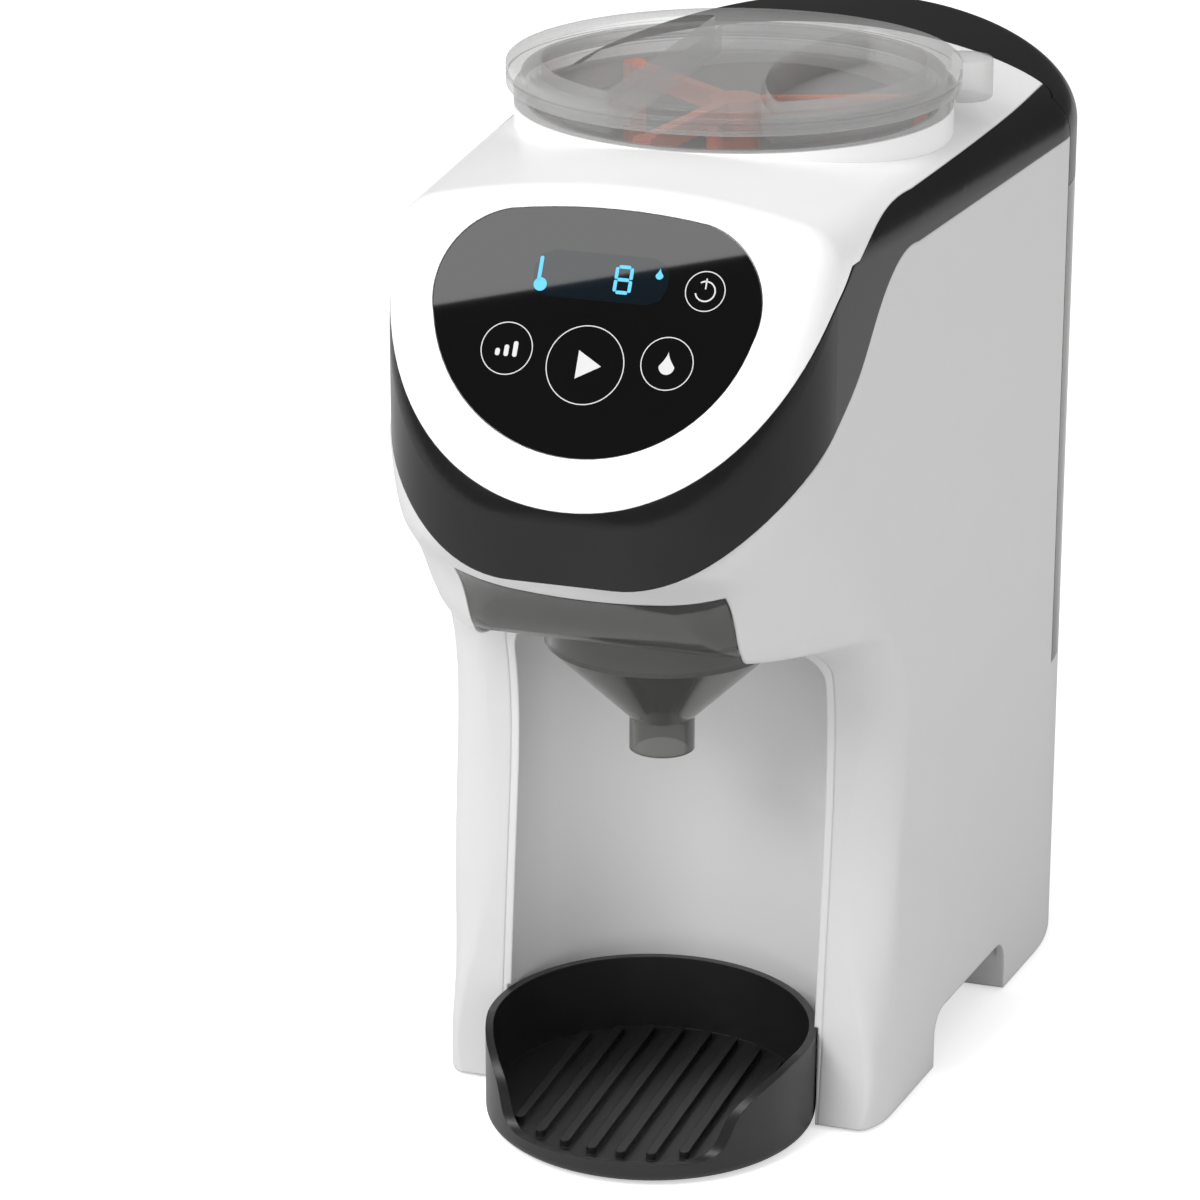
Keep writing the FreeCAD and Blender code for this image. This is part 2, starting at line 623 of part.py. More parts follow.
def make_funnel():
    wall, half, frame_half = S.funnel_wall, S.hopper_radius, S.hopper_half_width
    deck = S.funnel_deck_z
    join_z = S.cone_low_z + (half - S.nozzle_radius) / S.funnel_slope
    rise = 1 / S.funnel_slope
    cone = turned([(S.nozzle_bore, S.nozzle_z), (S.nozzle_radius, S.nozzle_z), (S.nozzle_radius, S.cone_low_z),
                   (half, join_z), (half, deck + wall), (half - wall, deck + wall), (half - wall, join_z + 1),
                   (S.nozzle_bore, join_z + 1 - (half - wall - S.nozzle_bore) * rise)], S.funnel_y)
    frame = block(-frame_half, frame_half, S.nose_y + 37, S.bay_centre_y + 30, deck, deck + wall)
    frame = frame.cut(Part.makeCylinder(half - wall, 30, Vector(0, S.funnel_y, deck - 10)))
    front = nose_solid(0).cut(nose_solid(S.wall)).common(window_solid(S.join_gap))
    front = front.cut(block(-60, 60, S.nose_y + 45, 0, 0, 400)).cut(block(-60, 60, -200, 0, 0, deck - 2))
    return max(front.fuse(frame).fuse(cone).Solids, key=lambda solid: solid.Volume)


node("funnel", shaped("Funnel", make_funnel()))


def make_rails():
    """Two channels on the bay ceiling that carry the funnel's deck."""
    inner, outer = S.hopper_radius + 1.2, S.hopper_half_width + 0.5
    front, back = -75, S.bay_centre_y + 31
    foot = S.bay_top_z + S.bay_wall
    deck = S.funnel_deck_z
    pair = []
    for side in (1, -1):
        ledge = block(inner, outer + 1.4, front, back, foot, deck - S.seat_gap)
        lip = block(outer, outer + 1.4, front, back, foot, deck + S.funnel_wall + 3)
        rail = ledge.fuse(lip)
        if side < 0:
            rail = rail.mirror(Vector(0, 0, 0), Vector(1, 0, 0))
        pair.append(rail)
    return Part.makeCompound(pair)


node("funnel_rails", shaped("FunnelRails", make_rails()))

# Drip tray


def make_tray():
    radius, wall, foot = S.tray_radius, S.tray_wall, S.tray_foot
    centre = Vector(0, S.tray_y, foot)
    top = foot + S.tray_height
    outer = Part.makeCylinder(radius, S.tray_height, centre)
    outer = outer.makeFillet(3, [edge for edge in outer.Edges if edge.BoundBox.ZMax < foot + 0.1])
    hollow = Part.makeCylinder(radius - wall, S.tray_height, centre + Vector(0, 0, wall + 2.6))
    cup = outer.cut(hollow)
    # the rim dips in an S from the high sides to the low front lip
    dip_back, dip_mid, low = S.tray_y - 8, S.tray_y - 33, foot + S.tray_lip
    dip = Part.BSplineCurve()
    dip.interpolate(side_points([(dip_back, top), (dip_back - 12, top - 2.5), (dip_mid, top - 11),
                                 (dip_mid - 4.5, low + 2), (dip_mid - 9, low), (-REACH, low)][:5]))
    edges = [dip.toShape()] + path(side_points([(dip_mid - 9, low), (-REACH, low), (-REACH, REACH),
                                                (dip_back, REACH), (dip_back, top)]))
    cup = cup.cut(side_slab(edges))
    # underside clears the bay floor
    cup = cup.cut(block(-60, 60, S.bay_centre_y + 3.4, 0, -1, S.skirt_lift + 2.2 + 0.3))
    first = -(S.rib_count - 1) / 2
    for count in range(int(S.rib_count)):
        x = (first + count) * S.rib_pitch
        span = math.sqrt(max((radius - wall - 3) ** 2 - x ** 2, 1))
        y0, y1 = S.tray_y - span, S.tray_y + span
        rib = block(x - 1.5, x + 1.5, y0 + 1.5, y1 - 1.5, foot + wall + 2, foot + wall + 2.6 + S.rib_height)
        for y in (y0 + 1.5, y1 - 1.5):
            rib = rib.fuse(Part.makeCylinder(1.5, 0.6 + S.rib_height, Vector(x, y, foot + wall + 2)))
        cup = cup.fuse(rib)
    return cup


node("drip_tray", shaped("DripTray", make_tray()))

# Water tank, its lid and the outlet valve


def rear_prism(inset, y, z0, z1):
    return plan_prism(inset, z0, z1).common(block(-REACH, REACH, y, REACH, z0 - 1, z1 + 1))


def make_tank():
    front, wall = S.tank_front_y, S.tank_wall
    outer = rear_prism(0, front, S.tank_floor_z, S.tank_top_z).cut(lid_front(S.tank_gap, 0))
    inner = rear_prism(wall, front + wall, S.tank_floor_z + wall, S.tank_top_z + 10)
    inner = inner.cut(lid_front(S.tank_gap + wall, 0))
    cage_low, cage_top = S.tank_floor_z + wall, S.tank_floor_z + wall + S.cage_height
    cage = tube(S.valve_radius + 3, S.valve_radius + 1, S.cage_height, Vector(0, S.valve_y, cage_low))
    cage = cage.cut(block(-20, 20, S.valve_y - 3, S.valve_y + 3, cage_low + 1, cage_top - 2))
    cap = tube(S.valve_radius + 3, S.stem_radius + 0.3, 2, Vector(0, S.valve_y, cage_top))
    port = Part.makeCylinder(S.valve_radius - 1.5, 30, Vector(0, S.valve_y, S.tank_floor_z - 10))
    return outer.cut(inner).cut(port).fuse(cage).fuse(cap)


node("water_tank", shaped("WaterTank", make_tank()))


def make_tank_lid():
    low = S.tank_top_z + S.seat_gap
    zone = block(-REACH, REACH, lid_edge_y + S.join_gap, REACH, low, REACH)
    shell = head_solid(0).cut(head_inner).common(zone).cut(lid_front(S.join_gap))
    flat = rear_prism(S.wall / 2, S.tank_front_y + 0.5, low + 0.6, low + 2.6).cut(lid_front(S.tank_gap))
    rim, inside = S.tank_wall + 0.5, S.tank_wall + 2.5
    plug = rear_prism(rim, S.tank_front_y + rim, low - 6, low + 1.2).cut(lid_front(S.tank_gap + rim, 0))
    room = rear_prism(inside, S.tank_front_y + inside, 0, low + 0.8).cut(lid_front(S.tank_gap + inside, 0))
    plug = plug.cut(room)
    return max(shell.fuse(flat).fuse(plug).Solids, key=lambda solid: solid.Volume)


node("tank_lid", shaped("TankLid", make_tank_lid()))

disk_low = S.tank_floor_z + S.tank_wall + 0.3
disk_top = disk_low + 2


def make_valve():
    disk = Part.makeCylinder(S.valve_radius, disk_top - disk_low, Vector(0, S.valve_y, disk_low))
    stem_low = S.tank_floor_z + 0.4
    stem_top = S.tank_floor_z + S.tank_wall + S.cage_height + 3
    return disk.fuse(Part.makeCylinder(S.stem_radius, stem_top - stem_low, Vector(0, S.valve_y, stem_low)))


node("tank_valve", shaped("TankValve", make_valve()))


def make_spring():
    """Three turns of wire between the valve disk and the cage."""
    room = S.tank_floor_z + S.tank_wall + S.cage_height - disk_top - S.spring_wire - 0.4
    radius = S.valve_radius - 1.6
    helix = Part.makeHelix(room / 3, room, radius)
    ring = Part.Wire(Part.Circle(Vector(radius, 0, 0), Vector(0, 1, 0), S.spring_wire / 2).toShape())
    spring = Part.Wire(helix).makePipeShell([ring], True, True)
    spring.translate(Vector(0, S.valve_y, disk_top + 0.2 + S.spring_wire / 2))
    return spring


node("valve_spring", shaped("ValveSpring", make_spring()))


port_low = shelf_z - 12


def make_port():
    """The seat under the tank outlet, set in the body's shelf."""
    neck = tube(S.port_radius, S.tube_bore, shelf_z - port_low, Vector(0, S.valve_y, port_low))
    collar = tube(S.port_radius + 4, S.port_radius - 1, 2, Vector(0, S.valve_y, shelf_z - S.wall - 2))
    return neck.fuse(collar)


node("tank_port", shaped("TankPort", make_port()))

# Base, feet and the rest of the inside


def make_base():
    plate = plan_prism(S.wall + 0.2, floor_z, floor_top)
    plate = plate.common(block(-REACH, REACH, S.bay_centre_y, REACH, 0, 100)).cut(bay_outer)
    for x, y in foot_places():
        plate = plate.fuse(Part.makeCylinder(S.foot_radius - 1, floor_top - S.foot_height, Vector(x, y, S.foot_height)))
    for x, y in boss_places():
        plate = plate.cut(Part.makeCylinder(S.screw_radius + 0.2, 40, Vector(x, y, 0)))
    return max(plate.Solids, key=lambda solid: solid.Volume)


def foot_places():
    front_x, rear_x = S.bay_half_width + 9.2, S.half_width - 24
    front_y, rear_y = S.bay_centre_y + 16, S.rear_centre_y + 22
    return [(front_x, front_y), (-front_x, front_y), (rear_x, rear_y), (-rear_x, rear_y)]


node("base_plate", shaped("BasePlate", make_base()))
for name, (x, y) in zip(("foot_front_right", "foot_front_left", "foot_rear_right", "foot_rear_left"), foot_places()):
    node(name, rod(name, "foot_radius", "foot_height", x=str(x), y=str(y)))

heater = rod("Heater", "heater_radius", "heater_height", x="heater_x", y="heater_y", z=str(floor_top))
node("heater", heater)
pump_body = box("PumpBody", "pump_width", "pump_depth", "pump_height", x="pump_x", y="pump_y", z=str(floor_top))
pump_cap = rod("PumpCap", "pump_depth / 2 - 2", "12", x="pump_x", y="pump_y + pump_depth / 2",
               z="%s + pump_height" % floor_top)
node("pump", join("Pump", pump_body, pump_cap))
node("power_board", box("PowerBoard", "90", "board_thickness", "48", x="0", y="72", z=str(floor_top)))


def pipe(points, outer, inner, bend=8.0):
    """A tube along straight runs joined by bends."""
    points = [Vector(*point) for point in points]
    edges, start = [], points[0]
    for a, b, c in zip(points, points[1:], points[2:]):
        back, on = (a - b).normalize(), (c - b).normalize()
        half = back.getAngle(on) / 2
        reach = bend / math.tan(half)
        first, last = b + back * reach, b + on * reach
        centre = b + (back + on).normalize() * (bend / math.sin(half))
        middle = centre + (b - centre).normalize() * bend
        edges += [line(start, first), Part.Arc(first, middle, last).toShape()]
        start = last
    edges.append(line(start, points[-1]))
    wire = Part.Wire(edges)
    direction = (points[1] - points[0]).normalize()
    shapes = []
    for radius in (outer, inner):
        ring = Part.Wire(Part.Circle(points[0], direction, radius).toShape())
        shapes.append(wire.makePipeShell([ring], True, False))
    return shapes[0].cut(shapes[1])


pump_top = floor_top + S.pump_height + 12
pump_axis_y = S.pump_y + S.pump_depth / 2
heater_top = floor_top + S.heater_height
inlet_z = port_low - 8
node("inlet_hose", shaped("InletHose", pipe(
    [(S.pump_x, pump_axis_y, pump_top), (S.pump_x, pump_axis_y, inlet_z), (S.pump_x, S.valve_y, inlet_z),
     (0, S.valve_y, inlet_z), (0, S.valve_y, port_low)], S.tube_radius, S.tube_bore, 4.5)))
node("link_hose", shaped("LinkHose", pipe(
    [(S.pump_x - S.pump_width / 2, S.heater_y, floor_top + 14),
     (S.heater_x + S.heater_radius + 0.2, S.heater_y, floor_top + 14)], S.tube_radius, S.tube_bore)))
node("spout_hose", shaped("SpoutHose", pipe(
    [(S.heater_x, S.heater_y, heater_top), (S.heater_x, S.heater_y, S.hose_z), (S.heater_x, S.spout_y, S.hose_z),
     (S.spout_x, S.spout_y, S.hose_z), (S.spout_x, S.spout_y, S.spout_z)], S.tube_radius, S.tube_bore)))


def make_clip():
    """The hanger that holds the spout hose under the deck."""
    clip = block(S.heater_x - 6, S.heater_x + 6, S.spout_y + 12, S.spout_y + 20, S.hose_z - 6, S.deck_z)
    axis = Vector(S.heater_x, S.spout_y, S.hose_z)
    return clip.cut(Part.makeCylinder(S.tube_radius, 60, axis, Vector(0, 1, 0)))


node("hose_clip", shaped("HoseClip", make_clip()))


def make_gland():
    rear = S.rear_centre_y + S.half_width
    inner = Part.makeCylinder(S.gland_radius, 7.7, Vector(0, rear - 6, S.gland_z), Vector(0, 1, 0))
    collar = Part.makeCylinder(S.gland_radius + 2.5, 1.6, Vector(0, rear + 0.1, S.gland_z), Vector(0, 1, 0))
    bore = Part.makeCylinder(2.4, 40, Vector(0, rear - 20, S.gland_z), Vector(0, 1, 0))
    return inner.fuse(collar).cut(bore)


node("cord_gland", shaped("CordGland", make_gland()))


def screw_group(places, head_z, length, up):
    """Pan head screws; up is 1 when the shank points up."""
    screws = []
    for x, y in places:
        head_low = head_z - 2 if up > 0 else head_z
        head = Part.makeCylinder(S.screw_head, 2, Vector(x, y, head_low))
        slot = block(x - 2, x + 2, y - 0.5, y + 0.5, head_low - 0.5, head_low + 0.6)
        if up < 0:
            slot = block(x - 2, x + 2, y - 0.5, y + 0.5, head_low + 1.4, head_low + 2.5)
        shank = Part.makeCylinder(S.screw_radius, length, Vector(x, y, head_z if up > 0 else head_z - length))
        screws.append(head.fuse(shank).cut(slot))
    return Part.makeCompound(screws)


node("base_screws", shaped("BaseScrews", screw_group(boss_places(), floor_z, 10, 1)))
node("deck_screws", shaped("DeckScrews", screw_group(ledge_places(), S.deck_z + S.deck_thickness, 10, -1)))

doc.recompute()
for item in nodes:
    shape = item.Shape
    if "Invalid" in item.State or shape.isNull() or not shape.isValid() or not shape.Solids:
        raise RuntimeError("bad shape: " + item.Label)
    print(item.Label, len(shape.Solids), round(shape.Volume))
    shape.exportStep("parts/%s.step" % item.Label)
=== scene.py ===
"""Looks of a baby formula maker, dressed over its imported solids."""
import math

import bpy
from bpy.props import FloatProperty, FloatVectorProperty, IntProperty, PointerProperty
from bpy.types import Operator, Panel, PropertyGroup
from mathutils import Matrix, Vector


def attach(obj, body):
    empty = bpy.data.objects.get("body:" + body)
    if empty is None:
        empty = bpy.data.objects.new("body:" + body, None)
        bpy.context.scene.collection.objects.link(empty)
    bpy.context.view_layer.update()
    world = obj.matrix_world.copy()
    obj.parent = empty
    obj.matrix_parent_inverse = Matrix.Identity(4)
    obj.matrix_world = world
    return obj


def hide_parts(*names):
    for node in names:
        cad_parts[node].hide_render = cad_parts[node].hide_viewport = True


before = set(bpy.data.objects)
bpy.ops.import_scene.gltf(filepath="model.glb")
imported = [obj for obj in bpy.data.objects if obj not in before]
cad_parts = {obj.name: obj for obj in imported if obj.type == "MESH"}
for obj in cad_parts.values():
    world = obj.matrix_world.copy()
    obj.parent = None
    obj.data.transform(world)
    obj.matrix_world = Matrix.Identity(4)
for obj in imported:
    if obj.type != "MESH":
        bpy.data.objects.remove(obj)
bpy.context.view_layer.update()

bl_info = {
    "name": "Formula Maker Looks",
    "version": (1, 0, 0),
    "blender": (4, 5, 0),
    "location": "View3D > Sidebar > Formula Maker",
    "description": "Finishes and detail pieces for a countertop formula maker",
    "category": "Object",
}

MM = 0.001
FACE_TILT = math.radians(29.8)
FACE_FOOT = (0.0, -163.0, 219.0)
HOPPER_Y = -5.0
PRINT_RISE = 0.00008
WELD = 0.000005


def colour(name, text, value):
    """A colour that can be set."""
    return FloatVectorProperty(name=name, description=text, subtype="COLOR", size=4, min=0, max=1,
                               default=value)


def length(name, text, value):
    """A length that can be set, written in millimetres."""
    return FloatProperty(name=name, description=text, subtype="DISTANCE", unit="LENGTH", default=value * MM)


class FinishColours(PropertyGroup):
    """Colours of the moulded and printed finishes; the casing tone holds painted shade and the bay tone holds
    painted light.
    """
    # The casing tone is kept darker than the cover's as painted shade of the flanks.
    casing: colour("Casing", "Pale grey-white of the flanks and bay", (0.655, 0.655, 0.655, 1))
    # The bay tone is paler than the casing's, though liner and casing are one plastic: painted light on the lit
    # inside of the bay.
    bay: colour("Bay", "Pale grey-white of the filling bay", (0.84, 0.84, 0.84, 1))
    cover: colour("Cover", "White of the top and front cover", (0.95, 0.95, 0.95, 1))
    trim: colour("Trim", "Black of the shoulder trim and rear lid", (0.011, 0.011, 0.011, 1))
    panel: colour("Panel", "Black of the touch panel", (0.003, 0.003, 0.003, 1))
    clear: colour("Clear", "Clear plastic of the container and its lid", (0.50, 0.50, 0.495, 1))
    smoke: colour("Smoke", "Smoke-grey plastic of the tank", (0.13, 0.13, 0.12, 1))
    funnel: colour("Funnel", "Smoke-grey plastic of the funnel", (0.26, 0.26, 0.25, 1))
    tray: colour("Tray", "Black of the drip tray", (0.014, 0.014, 0.014, 1))
    stirrer: colour("Stirrer", "Orange of the stirrer", (0.86, 0.24, 0.12, 1))
    light: colour("Display light", "Blue of the lit display", (0.10, 0.62, 0.95, 1))
    print: colour("Panel print", "Pale print of the touch rings", (0.62, 0.62, 0.62, 1))


class PanelSizes(PropertyGroup):
    """Places and sizes of what is printed and lit on the panel."""
    start_height: length("Start height", "Up the slope to the start ring's centre", 41.6)
    start_radius: length("Start radius", "Radius of the start ring", 11.1)
    side_offset: length("Side offset", "Sideways from the middle to the side rings", 23.2)
    side_height: length("Side height", "Up the slope to the side rings' centres", 44.2)
    side_radius: length("Side radius", "Radius of the side rings", 7.4)
    power_offset: length("Power offset", "Sideways to the power ring's centre", 30.7)
    power_height: length("Power height", "Up the slope to the power ring's centre", 65.3)
    power_radius: length("Power radius", "Radius of the power ring", 5.6)
    ring_width: length("Ring width", "Width of a printed line", 0.28)
    display_width: length("Display width", "Width of the display window", 39.0)
    display_height: length("Display height", "Height of the display window", 13.4)
    display_up: length("Display place", "Up the slope to the display's centre", 66.6)
    digit_place: length("Digit place", "Sideways to the lit digit", 7.0)
    stem_place: length("Thermometer place", "Sideways to the lit thermometer", -17.2)
    drop_place: length("Drop place", "Sideways to the lit drop", 17.1)
    digit_height: length("Digit height", "Height of the lit digit", 8.2)


class LidSizes(PropertyGroup):
    """Shape of the clear container lid."""
    radius: length("Radius", "Outer radius of the lid's ring", 67.8)
    pocket_radius: length("Pocket radius", "Radius of the round wall of the finger pockets", 57.2)
    grip_left: length("Grip left side", "From the middle to the left pocket's straight wall", 22.0)
    grip_right: length("Grip right side", "From the middle to the right pocket's bowed wall", 14.0)
    grip_bow: length("Grip bow", "Radius of the right pocket's bowed wall", 95.0)
    pocket_depth: length("Pocket depth", "Depth of the finger pockets", 11.0)
    wall: length("Wall", "Wall thickness of the lid", 1.6)
    top: length("Top", "Height of the lid's top", 311.0)
    ring_low: length("Ring foot", "Height of the ring's lower edge", 303.4)
    roof: length("Roof", "Thickness of the lid over the container", 3.2)
    skirt_radius: length("Skirt radius", "Inner radius of the ring", 63.3)
    groove: length("Groove", "Depth and height of the groove round the ring", 0.8)
    lug_radius: length("Lug radius", "Radius of the locking lug", 8.8)
    lug_reach: length("Lug reach", "From the lid's middle to the lug's", 69.4)
    lug_low: length("Lug foot", "Height of the lug's lower face", 297.0)
    lug_top: length("Lug top", "Height of the lug's upper face", 309.4)
    lug_turn: FloatProperty(name="Lug turn", description="Turn of the lug from the right towards the rear",
                            subtype="ANGLE", default=math.radians(25))
    sides: IntProperty(name="Sides", description="Sides of round parts", default=160, min=32)


class StageSizes(PropertyGroup):
    """Camera and lamps."""
    lens: FloatProperty(name="Lens", description="Focal length in millimetres", default=137.33)
    azimuth: FloatProperty(name="Azimuth", description="Turn of the camera to the right", subtype="ANGLE",
                           default=math.radians(18.62))
    pitch: FloatProperty(name="Pitch", description="Tilt of the camera downwards", subtype="ANGLE",
                         default=math.radians(19.86))
    camera_x: length("Camera X", "Camera place across", 387.6)
    camera_y: length("Camera Y", "Camera place towards the front", -1279.9)
    camera_z: length("Camera Z", "Camera height", 620.8)
    key: FloatProperty(name="Key lamp", description="Power of the key lamp in watts", default=27.0)
    fill: FloatProperty(name="Fill lamp", description="Power of the fill lamp in watts", default=3.0)
    sky: FloatProperty(name="Sky", description="Strength of the even light", default=0.66)
    mirrored_sky: FloatProperty(name="Mirrored sky", description="Strength of the sky in mirror images",
                                default=0.10)
    card: FloatProperty(name="Card", description="Strength of the card that the panel mirrors", default=4.4)
    floor_glow: FloatProperty(name="Floor glow", description="What the floor adds for the camera", default=0.55)


# Materials


def new_material(name, base, roughness, metallic=0.0, coat=0.0, specular=0.5):
    """A principled material and its main nodes."""
    material = bpy.data.materials.new(name)
    material.use_nodes = True
    nodes = material.node_tree.nodes
    shader = nodes["Principled BSDF"]
    shader.inputs["Base Color"].default_value = base
    shader.inputs["Roughness"].default_value = roughness
    shader.inputs["Metallic"].default_value = metallic
    shader.inputs["Coat Weight"].default_value = coat
    shader.inputs["Specular IOR Level"].default_value = specular
    shader.inputs["Coat Roughness"].default_value = 0.06
    material.diffuse_color = base
    return material


def add_grain(material, scale, strength, distance=0.00005, mottle=0.0, rounding=0.0):
    """Moulded texture: fine bump, slight colour change and softened edges."""
    tree = material.node_tree
    nodes, links = tree.nodes, tree.links
    shader = nodes["Principled BSDF"]
    place = nodes.new("ShaderNodeTexCoord")
    noise = nodes.new("ShaderNodeTexNoise")
    noise.inputs["Scale"].default_value = scale
    noise.inputs["Detail"].default_value = 3.0
    links.new(place.outputs["Object"], noise.inputs["Vector"])
    bump = nodes.new("ShaderNodeBump")
    bump.inputs["Strength"].default_value = strength
    bump.inputs["Distance"].default_value = distance
    links.new(noise.outputs["Fac"], bump.inputs["Height"])
    links.new(bump.outputs["Normal"], shader.inputs["Normal"])
    if rounding:
        bevel = nodes.new("ShaderNodeBevel")
        bevel.samples = 6
        bevel.inputs["Radius"].default_value = rounding * MM
        links.new(bevel.outputs["Normal"], bump.inputs["Normal"])
    if mottle:
        base = shader.inputs["Base Color"].default_value[:]
        wide = nodes.new("ShaderNodeTexNoise")
        wide.inputs["Scale"].default_value = scale / 40
        wide.inputs["Detail"].default_value = 4.0
        links.new(place.outputs["Object"], wide.inputs["Vector"])
        ramp = nodes.new("ShaderNodeValToRGB")
        low, high = ramp.color_ramp.elements
        low.position, high.position = 0.35, 0.65
        low.color = [c * (1 - mottle) for c in base[:3]] + [1]
        high.color = [min(1, c * (1 + mottle)) for c in base[:3]] + [1]
        links.new(wide.outputs["Fac"], ramp.inputs["Fac"])
        links.new(ramp.outputs["Color"], shader.inputs["Base Color"])
        rough = nodes.new("ShaderNodeMapRange")
        rough.inputs["To Min"].default_value = shader.inputs["Roughness"].default_value * 0.9
        rough.inputs["To Max"].default_value = shader.inputs["Roughness"].default_value * 1.1
        links.new(wide.outputs["Fac"], rough.inputs["Value"])
        links.new(rough.outputs["Result"], shader.inputs["Roughness"])
    return material


def see_through(material, share, ior=1.46):
    """A smoke or clear plastic that bends light."""
    shader = material.node_tree.nodes["Principled BSDF"]
    shader.inputs["Transmission Weight"].default_value = share
    shader.inputs["IOR"].default_value = ior
    return material


def see_past(material, facing=0.17, edge_on=0.62):
    """A thin clear wall: nearly unseen face on, milky where it is seen edge on."""
    tree = material.node_tree
    nodes, links = tree.nodes, tree.links
    weight = nodes.new("ShaderNodeLayerWeight")
    weight.inputs["Blend"].default_value = 0.35
    share = nodes.new("ShaderNodeMapRange")
    share.inputs["To Min"].default_value = facing
    share.inputs["To Max"].default_value = edge_on
    links.new(weight.outputs["Facing"], share.inputs["Value"])
    links.new(share.outputs["Result"], nodes["Principled BSDF"].inputs["Alpha"])
    return material


def paint_light_inward(material, front, rear):
    """The bay's wall: the casing's tone at its front rim, paler inside as painted light on the lit inside of the
    bay.
    """
    tree = material.node_tree
    nodes, links = tree.nodes, tree.links
    place = nodes.new("ShaderNodeTexCoord")
    split = nodes.new("ShaderNodeSeparateXYZ")
    depth = nodes.new("ShaderNodeMapRange")
    depth.inputs["From Min"].default_value = -0.072
    depth.inputs["From Max"].default_value = -0.045
    painted_light_ramp = nodes.new("ShaderNodeValToRGB")
    painted_light_ramp.color_ramp.elements[0].color = front
    painted_light_ramp.color_ramp.elements[1].color = rear
    links.new(place.outputs["Object"], split.inputs[0])
    links.new(split.outputs["Y"], depth.inputs["Value"])
    links.new(depth.outputs["Result"], painted_light_ramp.inputs["Fac"])
    links.new(painted_light_ramp.outputs["Color"], nodes["Principled BSDF"].inputs["Base Color"])
    return material


def glowing(material, glow, strength):
    """Gives a material its own light."""
    shader = material.node_tree.nodes["Principled BSDF"]
    shader.inputs["Emission Color"].default_value = glow
    shader.inputs["Emission Strength"].default_value = strength
    return material


def make_materials():
    """Every finish, by the short name that the pieces use."""
    tone = bpy.context.scene.maker_colours
    return {
        # Casing: its darker tone is painted shade of the flanks.
        "casing": add_grain(new_material("casing_plastic_painted_shade", tone.casing, 0.38), 1600, 0.05, mottle=0.008,
                            rounding=1.2),
        # Bay: paler inward, as painted light on the lit inside of the bay.
        "bay": paint_light_inward(add_grain(new_material("bay_plastic_painted_light", tone.bay, 0.38), 1600, 0.05, rounding=1.2),
                           tone.casing, tone.bay),
        "cover": add_grain(new_material("cover_plastic", tone.cover, 0.30), 1600, 0.03, mottle=0.004, rounding=0.5),
        "trim": add_grain(new_material("trim_plastic", tone.trim, 0.24, specular=0.28), 1200, 0.04, mottle=0.1,
                          rounding=0.6),
        "panel": add_grain(new_material("panel_glass", tone.panel, 0.02), 400, 0.0, mottle=0.1),
        "clear": see_past(add_grain(new_material("clear_plastic", tone.clear, 0.08), 500, 0.03)),
        "smoke": see_through(add_grain(new_material("tank_smoke", tone.smoke, 0.10), 500, 0.04), 0.55),
        "funnel": see_through(add_grain(new_material("funnel_smoke", tone.funnel, 0.10), 500, 0.04), 0.80),
        "tray": add_grain(new_material("tray_plastic", tone.tray, 0.36), 1400, 0.12, mottle=0.15, rounding=0.4),
        "stirrer": add_grain(new_material("stirrer_plastic", tone.stirrer, 0.35), 1500, 0.05, mottle=0.02),
        "light": glowing(new_material("display_light", (0.01, 0.05, 0.08, 1), 0.3), tone.light, 1.0),
        "print": add_grain(new_material("panel_print", tone.print, 0.5), 1500, 0.02),
        "display": add_grain(new_material("display_window", (0.004, 0.008, 0.012, 1), 0.02, specular=0.42), 900, 0.0,
                             mottle=0.1),
        "board": add_grain(new_material("board_laminate", (0.02, 0.14, 0.06, 1), 0.45), 900, 0.1, mottle=0.2),
        "nylon": add_grain(new_material("gear_nylon", (0.72, 0.70, 0.64, 1), 0.5), 1200, 0.08, mottle=0.03),
        "steel": add_grain(new_material("turned_steel", (0.58, 0.58, 0.59, 1), 0.3, metallic=1.0), 2200, 0.08,
                           mottle=0.05),
        "inner": add_grain(new_material("inner_plastic", (0.16, 0.165, 0.17, 1), 0.5), 1200, 0.1, mottle=0.05),
        "rubber": add_grain(new_material("foot_rubber", (0.018, 0.018, 0.018, 1), 0.75), 1500, 0.2, mottle=0.15),
        "hose": add_grain(new_material("hose_silicone", (0.66, 0.66, 0.63, 1), 0.4), 1500, 0.05, mottle=0.03),
    }


MATERIALS = {}


def finish_of(name):
    """The named finish, made on first use."""
    if not MATERIALS:
        MATERIALS.update(make_materials())
    return MATERIALS[name]


# Modelling helpers


def clear_selection():
    """Object mode with nothing selected."""
    if bpy.context.object and bpy.context.object.mode != "OBJECT":
        bpy.ops.object.mode_set(mode="OBJECT")
    bpy.ops.object.select_all(action="DESELECT")


def pick(item):
    """Makes a piece the only selected and active one."""
    clear_selection()
    item.select_set(True)
    bpy.context.view_layer.objects.active = item
    return item


def named(name):
    """Names the piece just added or joined."""
    item = bpy.context.object
    item.name = name
    item.data.name = name
    return item


def apply_all(item):
    """Modifiers and place are applied, so the object sits at the origin."""
    pick(item)
    for modifier in list(item.modifiers):
        bpy.ops.object.modifier_apply(modifier=modifier.name)
    bpy.ops.object.transform_apply(location=True, rotation=True, scale=True)
    return item


def bevel(item, width, segments=3, angle=35):
    """Rounds edges sharper than an angle; width in millimetres."""
    modifier = item.modifiers.new("edge", "BEVEL")
    modifier.width = width * MM
    modifier.segments = segments
    modifier.limit_method = "ANGLE"
    modifier.angle_limit = math.radians(angle)
    return item


def boolean(item, other, kind):
    """Joins, cuts or crosses a piece with another, which is used up."""
    modifier = item.modifiers.new(kind.lower(), "BOOLEAN")
    modifier.operation = kind
    modifier.object = other
    modifier.solver = "EXACT"
    pick(item)
    bpy.ops.object.modifier_apply(modifier=modifier.name)
    bpy.data.objects.remove(other)
    return item


